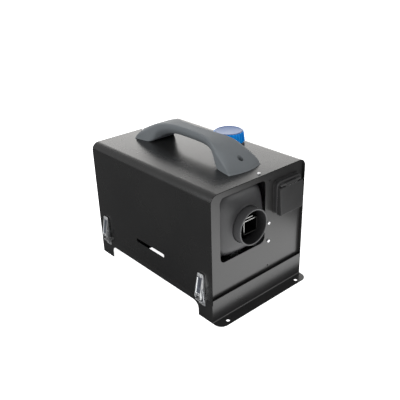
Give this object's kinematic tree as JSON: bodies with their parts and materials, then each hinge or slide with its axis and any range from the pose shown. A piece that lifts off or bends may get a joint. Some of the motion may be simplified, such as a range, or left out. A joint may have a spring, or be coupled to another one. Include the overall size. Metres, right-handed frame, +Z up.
{
  "type": "diesel air heater",
  "caption": "Portable diesel air heater in a sheet metal case with a carrying handle, toggle latches, a screw fuel cap, a hot air outlet and a control pod under a hinged lid.",
  "frame": {"origin": "centre of the bounding box on the floor", "axes": "+Z up, -Y out of the hot air outlet, +X to the side of the fuel cap"},
  "size_m": [0.288, 0.4372, 0.3265],
  "materials": {
    "case_paint": "satin",
    "galvanised": "satin",
    "screw_steel": "polished",
    "zinc": "satin",
    "handle_plastic": "matte",
    "cap_plastic": "satin",
    "seal_rubber": "matte",
    "pod_plastic": "matte",
    "button_plastic": "satin",
    "screen_glass": "glossy",
    "tank_plastic": "translucent",
    "hose_rubber": "matte",
    "filter_plastic": "clear",
    "pump_steel": "satin",
    "black_plastic": "matte",
    "cast_aluminium": "cast",
    "heat_steel": "satin",
    "shaft_steel": "ground"
  },
  "bodies": {
    "case": {"cover": "case_paint", "base_frame": "case_paint", "front_panel": "case_paint", "rear_panel": "case_paint", "floor_tray": "galvanised", "divider": "galvanised", "cradle_brackets": "galvanised", "tank_strap": "galvanised", "pump_clip": "galvanised", "case_screws": "screw_steel", "handle_screws": "screw_steel", "lid_pin": "screw_steel", "latch_bases": "zinc", "latch_pins": "zinc", "latch_rivets": "zinc", "latch_strikes": "zinc", "handle": "handle_plastic", "pod_gasket": "seal_rubber", "pod_housing": "pod_plastic", "controller": "pod_plastic", "screen": "screen_glass", "fuel_tank": "tank_plastic", "tank_outlet": "tank_plastic", "hose_tank_filter": "hose_rubber", "hose_filter_pump": "hose_rubber", "hose_pump_heater": "hose_rubber", "fuel_filter": "filter_plastic", "fuel_pump": "pump_steel", "blower_motor": "pump_steel", "outlet_hood": "black_plastic", "outlet_collar": "black_plastic", "casing_lower": "black_plastic", "casing_upper": "black_plastic", "intake_grille": "black_plastic", "control_unit": "black_plastic", "cable_gland": "black_plastic", "air_intake_pipe": "black_plastic", "heat_exchanger": "cast_aluminium", "exchanger_nose": "cast_aluminium", "burner_tube": "heat_steel", "glow_plug": "heat_steel", "exhaust_pipe": "heat_steel"},
    "lid": {"pod_lid": "pod_plastic"},
    "cap_carrier": {"cap_seal": "seal_rubber"},
    "cap": {"fuel_cap": "cap_plastic", "cap_grip": "cap_plastic"},
    "blower": {"motor_shaft": "shaft_steel", "fan_wheel": "black_plastic", "combustion_impeller": "cast_aluminium"},
    "power_button": {"button_power": "button_plastic"},
    "set_button": {"button_set": "button_plastic"},
    "up_button": {"button_up": "button_plastic"},
    "down_button": {"button_down": "button_plastic"},
    "front_left_lever": {"lever_front_left": "zinc"},
    "front_left_bail": {"bail_front_left": "zinc"},
    "front_right_lever": {"lever_front_right": "zinc"},
    "front_right_bail": {"bail_front_right": "zinc"},
    "rear_left_lever": {"lever_rear_left": "zinc"},
    "rear_left_bail": {"bail_rear_left": "zinc"},
    "rear_right_lever": {"lever_rear_right": "zinc"},
    "rear_right_bail": {"bail_rear_right": "zinc"}
  },
  "joints": [
    {"name": "front_left_lever_swing", "type": "hinge", "parent": "case", "child": "front_left_lever", "pos_m": [-0.1385, -0.165, 0.055], "axis": [0, -1, 0], "range_deg": [0, 150]},
    {"name": "front_left_bail_swing", "type": "hinge", "parent": "front_left_lever", "child": "front_left_bail", "pos_m": [-0.138, -0.165, 0.073], "axis": [0, -1, 0], "range_deg": [-150, 0]},
    {"name": "front_right_lever_swing", "type": "hinge", "parent": "case", "child": "front_right_lever", "pos_m": [0.1385, -0.165, 0.055], "axis": [0, 1, 0], "range_deg": [0, 150]},
    {"name": "front_right_bail_swing", "type": "hinge", "parent": "front_right_lever", "child": "front_right_bail", "pos_m": [0.138, -0.165, 0.073], "axis": [0, 1, 0], "range_deg": [-150, 0]},
    {"name": "rear_left_lever_swing", "type": "hinge", "parent": "case", "child": "rear_left_lever", "pos_m": [-0.1385, 0.165, 0.055], "axis": [0, -1, 0], "range_deg": [0, 150]},
    {"name": "rear_left_bail_swing", "type": "hinge", "parent": "rear_left_lever", "child": "rear_left_bail", "pos_m": [-0.138, 0.165, 0.073], "axis": [0, -1, 0], "range_deg": [-150, 0]},
    {"name": "rear_right_lever_swing", "type": "hinge", "parent": "case", "child": "rear_right_lever", "pos_m": [0.1385, 0.165, 0.055], "axis": [0, 1, 0], "range_deg": [0, 150]},
    {"name": "rear_right_bail_swing", "type": "hinge", "parent": "rear_right_lever", "child": "rear_right_bail", "pos_m": [0.138, 0.165, 0.073], "axis": [0, 1, 0], "range_deg": [-150, 0]},
    {"name": "lid_swing", "type": "hinge", "parent": "case", "child": "lid", "pos_m": [0.0792, -0.2015, 0.2415], "axis": [-1, 0, 0], "range_deg": [0, 110]},
    {"name": "cap_lift", "type": "slide", "parent": "case", "child": "cap_carrier", "axis": [0, 0, 1], "range_m": [0, 0.0061]},
    {"name": "cap_turn", "type": "hinge", "parent": "cap_carrier", "child": "cap", "pos_m": [0.087, -0.017, 0.292], "axis": [0, 0, 1], "range_deg": [0, 540]},
    {"name": "power_press", "type": "slide", "parent": "case", "child": "power_button", "axis": [0, 1, 0], "range_m": [0, 0.001], "stiffness_N_per_m": 400, "springref_m": -0.001},
    {"name": "set_press", "type": "slide", "parent": "case", "child": "set_button", "axis": [0, 1, 0], "range_m": [0, 0.001], "stiffness_N_per_m": 400, "springref_m": -0.001},
    {"name": "up_press", "type": "slide", "parent": "case", "child": "up_button", "axis": [0, 1, 0], "range_m": [0, 0.001], "stiffness_N_per_m": 400, "springref_m": -0.001},
    {"name": "down_press", "type": "slide", "parent": "case", "child": "down_button", "axis": [0, 1, 0], "range_m": [0, 0.001], "stiffness_N_per_m": 400, "springref_m": -0.001},
    {"name": "blower_spin", "type": "hinge", "parent": "case", "child": "blower", "pos_m": [-0.04075, 0.11, 0.191], "axis": [0, 1, 0], "continuous": true}
  ],
  "couplings": [
    {"joint": "front_left_bail_swing", "follows": "front_left_lever_swing", "ratio": -1},
    {"joint": "front_right_bail_swing", "follows": "front_right_lever_swing", "ratio": -1},
    {"joint": "rear_left_bail_swing", "follows": "rear_left_lever_swing", "ratio": -1},
    {"joint": "rear_right_bail_swing", "follows": "rear_right_lever_swing", "ratio": -1},
    {"joint": "cap_lift", "follows": "cap_turn", "m_per_rad": 0.00063662}
  ]
}
